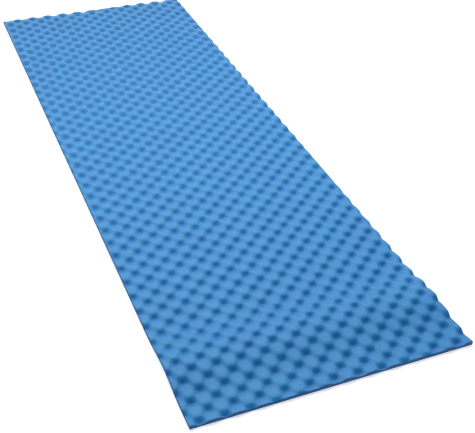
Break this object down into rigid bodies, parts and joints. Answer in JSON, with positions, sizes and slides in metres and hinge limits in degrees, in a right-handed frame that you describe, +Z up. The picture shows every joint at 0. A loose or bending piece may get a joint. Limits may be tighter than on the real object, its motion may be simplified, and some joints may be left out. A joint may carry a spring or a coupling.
{
  "type": "foam sleeping pad",
  "caption": "Flat rectangular sleeping pad of blue closed-cell foam, smooth below and egg-crate above, in strips hinged along bend lines so that it rolls up from one end",
  "frame": {"origin": "On the floor under the middle of the pad's outline, with the pad lying flat.", "axes": "X across the pad, Y along it from the near end to the far end, Z up. The bend lines run along X."},
  "size_m": [0.61, 1.8278, 0.0202],
  "materials": {
    "foam": "matte"
  },
  "bodies": {
    "strip_01": {"foam_strip_01_near_end": "foam"},
    "strip_02": {"foam_strip_02": "foam"},
    "strip_03": {"foam_strip_03": "foam"},
    "strip_04": {"foam_strip_04": "foam"},
    "strip_05": {"foam_strip_05": "foam"},
    "strip_06": {"foam_strip_06": "foam"},
    "strip_07": {"foam_strip_07": "foam"},
    "strip_08": {"foam_strip_08": "foam"},
    "strip_09": {"foam_strip_09": "foam"},
    "strip_10": {"foam_strip_10": "foam"},
    "strip_11": {"foam_strip_11": "foam"},
    "strip_12": {"foam_strip_12": "foam"},
    "strip_13": {"foam_strip_13": "foam"},
    "strip_14": {"foam_strip_14": "foam"},
    "strip_15": {"foam_strip_15": "foam"},
    "strip_16": {"foam_strip_16": "foam"},
    "strip_17": {"foam_strip_17": "foam"},
    "strip_18": {"foam_strip_18": "foam"},
    "strip_19": {"foam_strip_19": "foam"},
    "strip_20": {"foam_strip_20": "foam"},
    "strip_21": {"foam_strip_21": "foam"},
    "strip_22": {"foam_strip_22": "foam"},
    "strip_23": {"foam_strip_23": "foam"},
    "strip_24": {"foam_strip_24": "foam"},
    "strip_25": {"foam_strip_25": "foam"},
    "strip_26": {"foam_strip_26": "foam"},
    "strip_27": {"foam_strip_27": "foam"},
    "strip_28": {"foam_strip_28": "foam"},
    "strip_29": {"foam_strip_29": "foam"},
    "strip_30": {"foam_strip_30": "foam"},
    "strip_31": {"foam_strip_31": "foam"},
    "strip_32": {"foam_strip_32": "foam"},
    "strip_33": {"foam_strip_33": "foam"},
    "strip_34": {"foam_strip_34": "foam"},
    "strip_35": {"foam_strip_35": "foam"},
    "strip_36": {"foam_strip_36": "foam"},
    "strip_37": {"foam_strip_37": "foam"},
    "strip_38": {"foam_strip_38": "foam"},
    "strip_39": {"foam_strip_39": "foam"},
    "strip_40": {"foam_strip_40": "foam"},
    "strip_41": {"foam_strip_41": "foam"},
    "strip_42": {"foam_strip_42": "foam"},
    "strip_43": {"foam_strip_43": "foam"},
    "strip_44": {"foam_strip_44": "foam"},
    "strip_45": {"foam_strip_45": "foam"},
    "strip_46": {"foam_strip_46": "foam"},
    "strip_47": {"foam_strip_47": "foam"},
    "strip_48": {"foam_strip_48": "foam"},
    "strip_49": {"foam_strip_49": "foam"},
    "strip_50": {"foam_strip_50": "foam"},
    "strip_51": {"foam_strip_51": "foam"},
    "strip_52": {"foam_strip_52": "foam"},
    "strip_53": {"foam_strip_53": "foam"},
    "strip_54": {"foam_strip_54": "foam"},
    "strip_55": {"foam_strip_55": "foam"},
    "strip_56": {"foam_strip_56": "foam"},
    "strip_57": {"foam_strip_57_far_end": "foam"}
  },
  "joints": [
    {"name": "bend_01", "type": "hinge", "parent": "strip_01", "child": "strip_02", "pos_m": [0, -0.86567, 0.01], "axis": [1, 0, 0], "range_deg": [0, 24.59], "stiffness_Nm_per_rad": 0.02},
    {"name": "bend_02", "type": "hinge", "parent": "strip_02", "child": "strip_03", "pos_m": [0, -0.81819, 0.0145], "axis": [1, 0, 0], "range_deg": [0, 28.39], "stiffness_Nm_per_rad": 0.02},
    {"name": "bend_03", "type": "hinge", "parent": "strip_03", "child": "strip_04", "pos_m": [0, -0.77142, 0.02026], "axis": [1, 0, 0], "range_deg": [0, 40.19], "stiffness_Nm_per_rad": 0.02},
    {"name": "bend_04", "type": "hinge", "parent": "strip_04", "child": "strip_05", "pos_m": [0, -0.72496, 0.01769], "axis": [1, 0, 0], "range_deg": [0, 35], "stiffness_Nm_per_rad": 0.02},
    {"name": "bend_05", "type": "hinge", "parent": "strip_05", "child": "strip_06", "pos_m": [0, -0.67946, 0.01116], "axis": [1, 0, 0], "range_deg": [0, 23.31], "stiffness_Nm_per_rad": 0.02},
    {"name": "bend_06", "type": "hinge", "parent": "strip_06", "child": "strip_07", "pos_m": [0, -0.63409, 0.01], "axis": [1, 0, 0], "range_deg": [0, 28.53], "stiffness_Nm_per_rad": 0.02},
    {"name": "bend_07", "type": "hinge", "parent": "strip_07", "child": "strip_08", "pos_m": [0, -0.58929, 0.01], "axis": [1, 0, 0], "range_deg": [0, 30], "stiffness_Nm_per_rad": 0.02},
    {"name": "bend_08", "type": "hinge", "parent": "strip_08", "child": "strip_09", "pos_m": [0, -0.54506, 0.01], "axis": [1, 0, 0], "range_deg": [0, 30], "stiffness_Nm_per_rad": 0.02},
    {"name": "bend_09", "type": "hinge", "parent": "strip_09", "child": "strip_10", "pos_m": [0, -0.50141, 0.01], "axis": [1, 0, 0], "range_deg": [0, 30], "stiffness_Nm_per_rad": 0.02},
    {"name": "bend_10", "type": "hinge", "parent": "strip_10", "child": "strip_11", "pos_m": [0, -0.45834, 0.01], "axis": [1, 0, 0], "range_deg": [0, 30], "stiffness_Nm_per_rad": 0.02},
    {"name": "bend_11", "type": "hinge", "parent": "strip_11", "child": "strip_12", "pos_m": [0, -0.41585, 0.01], "axis": [1, 0, 0], "range_deg": [0, 30], "stiffness_Nm_per_rad": 0.02},
    {"name": "bend_12", "type": "hinge", "parent": "strip_12", "child": "strip_13", "pos_m": [0, -0.37394, 0.01], "axis": [1, 0, 0], "range_deg": [0, 30], "stiffness_Nm_per_rad": 0.02},
    {"name": "bend_13", "type": "hinge", "parent": "strip_13", "child": "strip_14", "pos_m": [0, -0.3326, 0.01], "axis": [1, 0, 0], "range_deg": [0, 30], "stiffness_Nm_per_rad": 0.02},
    {"name": "bend_14", "type": "hinge", "parent": "strip_14", "child": "strip_15", "pos_m": [0, -0.29184, 0.01], "axis": [1, 0, 0], "range_deg": [0, 30], "stiffness_Nm_per_rad": 0.02},
    {"name": "bend_15", "type": "hinge", "parent": "strip_15", "child": "strip_16", "pos_m": [0, -0.25166, 0.01], "axis": [1, 0, 0], "range_deg": [0, 30], "stiffness_Nm_per_rad": 0.02},
    {"name": "bend_16", "type": "hinge", "parent": "strip_16", "child": "strip_17", "pos_m": [0, -0.21206, 0.01], "axis": [1, 0, 0], "range_deg": [0, 30], "stiffness_Nm_per_rad": 0.02},
    {"name": "bend_17", "type": "hinge", "parent": "strip_17", "child": "strip_18", "pos_m": [0, -0.17304, 0.01], "axis": [1, 0, 0], "range_deg": [0, 30], "stiffness_Nm_per_rad": 0.02},
    {"name": "bend_18", "type": "hinge", "parent": "strip_18", "child": "strip_19", "pos_m": [0, -0.13459, 0.01], "axis": [1, 0, 0], "range_deg": [0, 30], "stiffness_Nm_per_rad": 0.02},
    {"name": "bend_19", "type": "hinge", "parent": "strip_19", "child": "strip_20", "pos_m": [0, -0.09672, 0.01], "axis": [1, 0, 0], "range_deg": [0, 30], "stiffness_Nm_per_rad": 0.02},
    {"name": "bend_20", "type": "hinge", "parent": "strip_20", "child": "strip_21", "pos_m": [0, -0.05943, 0.01], "axis": [1, 0, 0], "range_deg": [0, 30], "stiffness_Nm_per_rad": 0.02},
    {"name": "bend_21", "type": "hinge", "parent": "strip_21", "child": "strip_22", "pos_m": [0, -0.02272, 0.01], "axis": [1, 0, 0], "range_deg": [0, 30], "stiffness_Nm_per_rad": 0.02},
    {"name": "bend_22", "type": "hinge", "parent": "strip_22", "child": "strip_23", "pos_m": [0, 0.01341, 0.01], "axis": [1, 0, 0], "range_deg": [0, 30], "stiffness_Nm_per_rad": 0.02},
    {"name": "bend_23", "type": "hinge", "parent": "strip_23", "child": "strip_24", "pos_m": [0, 0.04897, 0.01], "axis": [1, 0, 0], "range_deg": [0, 30], "stiffness_Nm_per_rad": 0.02},
    {"name": "bend_24", "type": "hinge", "parent": "strip_24", "child": "strip_25", "pos_m": [0, 0.08395, 0.01], "axis": [1, 0, 0], "range_deg": [0, 30], "stiffness_Nm_per_rad": 0.02},
    {"name": "bend_25", "type": "hinge", "parent": "strip_25", "child": "strip_26", "pos_m": [0, 0.11835, 0.01], "axis": [1, 0, 0], "range_deg": [0, 30], "stiffness_Nm_per_rad": 0.02},
    {"name": "bend_26", "type": "hinge", "parent": "strip_26", "child": "strip_27", "pos_m": [0, 0.15217, 0.01], "axis": [1, 0, 0], "range_deg": [0, 30], "stiffness_Nm_per_rad": 0.02},
    {"name": "bend_27", "type": "hinge", "parent": "strip_27", "child": "strip_28", "pos_m": [0, 0.18541, 0.01], "axis": [1, 0, 0], "range_deg": [0, 30], "stiffness_Nm_per_rad": 0.02},
    {"name": "bend_28", "type": "hinge", "parent": "strip_28", "child": "strip_29", "pos_m": [0, 0.21808, 0.01], "axis": [1, 0, 0], "range_deg": [0, 30], "stiffness_Nm_per_rad": 0.02},
    {"name": "bend_29", "type": "hinge", "parent": "strip_29", "child": "strip_30", "pos_m": [0, 0.25017, 0.01], "axis": [1, 0, 0], "range_deg": [0, 30], "stiffness_Nm_per_rad": 0.02},
    {"name": "bend_30", "type": "hinge", "parent": "strip_30", "child": "strip_31", "pos_m": [0, 0.28167, 0.01], "axis": [1, 0, 0], "range_deg": [0, 30], "stiffness_Nm_per_rad": 0.02},
    {"name": "bend_31", "type": "hinge", "parent": "strip_31", "child": "strip_32", "pos_m": [0, 0.31261, 0.01], "axis": [1, 0, 0], "range_deg": [0, 30], "stiffness_Nm_per_rad": 0.02},
    {"name": "bend_32", "type": "hinge", "parent": "strip_32", "child": "strip_33", "pos_m": [0, 0.34296, 0.01], "axis": [1, 0, 0], "range_deg": [0, 30], "stiffness_Nm_per_rad": 0.02},
    {"name": "bend_33", "type": "hinge", "parent": "strip_33", "child": "strip_34", "pos_m": [0, 0.37274, 0.01], "axis": [1, 0, 0], "range_deg": [0, 30], "stiffness_Nm_per_rad": 0.02},
    {"name": "bend_34", "type": "hinge", "parent": "strip_34", "child": "strip_35", "pos_m": [0, 0.40193, 0.01], "axis": [1, 0, 0], "range_deg": [0, 30], "stiffness_Nm_per_rad": 0.02},
    {"name": "bend_35", "type": "hinge", "parent": "strip_35", "child": "strip_36", "pos_m": [0, 0.43055, 0.01], "axis": [1, 0, 0], "range_deg": [0, 30], "stiffness_Nm_per_rad": 0.02},
    {"name": "bend_36", "type": "hinge", "parent": "strip_36", "child": "strip_37", "pos_m": [0, 0.45859, 0.01], "axis": [1, 0, 0], "range_deg": [0, 30], "stiffness_Nm_per_rad": 0.02},
    {"name": "bend_37", "type": "hinge", "parent": "strip_37", "child": "strip_38", "pos_m": [0, 0.48606, 0.01], "axis": [1, 0, 0], "range_deg": [0, 30], "stiffness_Nm_per_rad": 0.02},
    {"name": "bend_38", "type": "hinge", "parent": "strip_38", "child": "strip_39", "pos_m": [0, 0.51294, 0.01], "axis": [1, 0, 0], "range_deg": [0, 30], "stiffness_Nm_per_rad": 0.02},
    {"name": "bend_39", "type": "hinge", "parent": "strip_39", "child": "strip_40", "pos_m": [0, 0.53925, 0.01], "axis": [1, 0, 0], "range_deg": [0, 30], "stiffness_Nm_per_rad": 0.02},
    {"name": "bend_40", "type": "hinge", "parent": "strip_40", "child": "strip_41", "pos_m": [0, 0.56498, 0.01], "axis": [1, 0, 0], "range_deg": [0, 30], "stiffness_Nm_per_rad": 0.02},
    {"name": "bend_41", "type": "hinge", "parent": "strip_41", "child": "strip_42", "pos_m": [0, 0.59013, 0.01], "axis": [1, 0, 0], "range_deg": [0, 30], "stiffness_Nm_per_rad": 0.02},
    {"name": "bend_42", "type": "hinge", "parent": "strip_42", "child": "strip_43", "pos_m": [0, 0.6147, 0.01], "axis": [1, 0, 0], "range_deg": [0, 30], "stiffness_Nm_per_rad": 0.02},
    {"name": "bend_43", "type": "hinge", "parent": "strip_43", "child": "strip_44", "pos_m": [0, 0.6387, 0.01], "axis": [1, 0, 0], "range_deg": [0, 30], "stiffness_Nm_per_rad": 0.02},
    {"name": "bend_44", "type": "hinge", "parent": "strip_44", "child": "strip_45", "pos_m": [0, 0.66212, 0.01], "axis": [1, 0, 0], "range_deg": [0, 30], "stiffness_Nm_per_rad": 0.02},
    {"name": "bend_45", "type": "hinge", "parent": "strip_45", "child": "strip_46", "pos_m": [0, 0.68496, 0.01], "axis": [1, 0, 0], "range_deg": [0, 30], "stiffness_Nm_per_rad": 0.02},
    {"name": "bend_46", "type": "hinge", "parent": "strip_46", "child": "strip_47", "pos_m": [0, 0.70722, 0.01], "axis": [1, 0, 0], "range_deg": [0, 30], "stiffness_Nm_per_rad": 0.02},
    {"name": "bend_47", "type": "hinge", "parent": "strip_47", "child": "strip_48", "pos_m": [0, 0.7289, 0.01], "axis": [1, 0, 0], "range_deg": [0, 30], "stiffness_Nm_per_rad": 0.02},
    {"name": "bend_48", "type": "hinge", "parent": "strip_48", "child": "strip_49", "pos_m": [0, 0.75001, 0.01], "axis": [1, 0, 0], "range_deg": [0, 30], "stiffness_Nm_per_rad": 0.02},
    {"name": "bend_49", "type": "hinge", "parent": "strip_49", "child": "strip_50", "pos_m": [0, 0.77053, 0.01], "axis": [1, 0, 0], "range_deg": [0, 30], "stiffness_Nm_per_rad": 0.02},
    {"name": "bend_50", "type": "hinge", "parent": "strip_50", "child": "strip_51", "pos_m": [0, 0.79048, 0.01], "axis": [1, 0, 0], "range_deg": [0, 30], "stiffness_Nm_per_rad": 0.02},
    {"name": "bend_51", "type": "hinge", "parent": "strip_51", "child": "strip_52", "pos_m": [0, 0.80985, 0.01], "axis": [1, 0, 0], "range_deg": [0, 30], "stiffness_Nm_per_rad": 0.02},
    {"name": "bend_52", "type": "hinge", "parent": "strip_52", "child": "strip_53", "pos_m": [0, 0.82865, 0.01], "axis": [1, 0, 0], "range_deg": [0, 30], "stiffness_Nm_per_rad": 0.02},
    {"name": "bend_53", "type": "hinge", "parent": "strip_53", "child": "strip_54", "pos_m": [0, 0.84686, 0.01], "axis": [1, 0, 0], "range_deg": [0, 30], "stiffness_Nm_per_rad": 0.02},
    {"name": "bend_54", "type": "hinge", "parent": "strip_54", "child": "strip_55", "pos_m": [0, 0.8645, 0.01], "axis": [1, 0, 0], "range_deg": [0, 30], "stiffness_Nm_per_rad": 0.02},
    {"name": "bend_55", "type": "hinge", "parent": "strip_55", "child": "strip_56", "pos_m": [0, 0.88156, 0.01], "axis": [1, 0, 0], "range_deg": [0, 30], "stiffness_Nm_per_rad": 0.02},
    {"name": "bend_56", "type": "hinge", "parent": "strip_56", "child": "strip_57", "pos_m": [0, 0.89804, 0.01], "axis": [1, 0, 0], "range_deg": [0, 30], "stiffness_Nm_per_rad": 0.02}
  ]
}
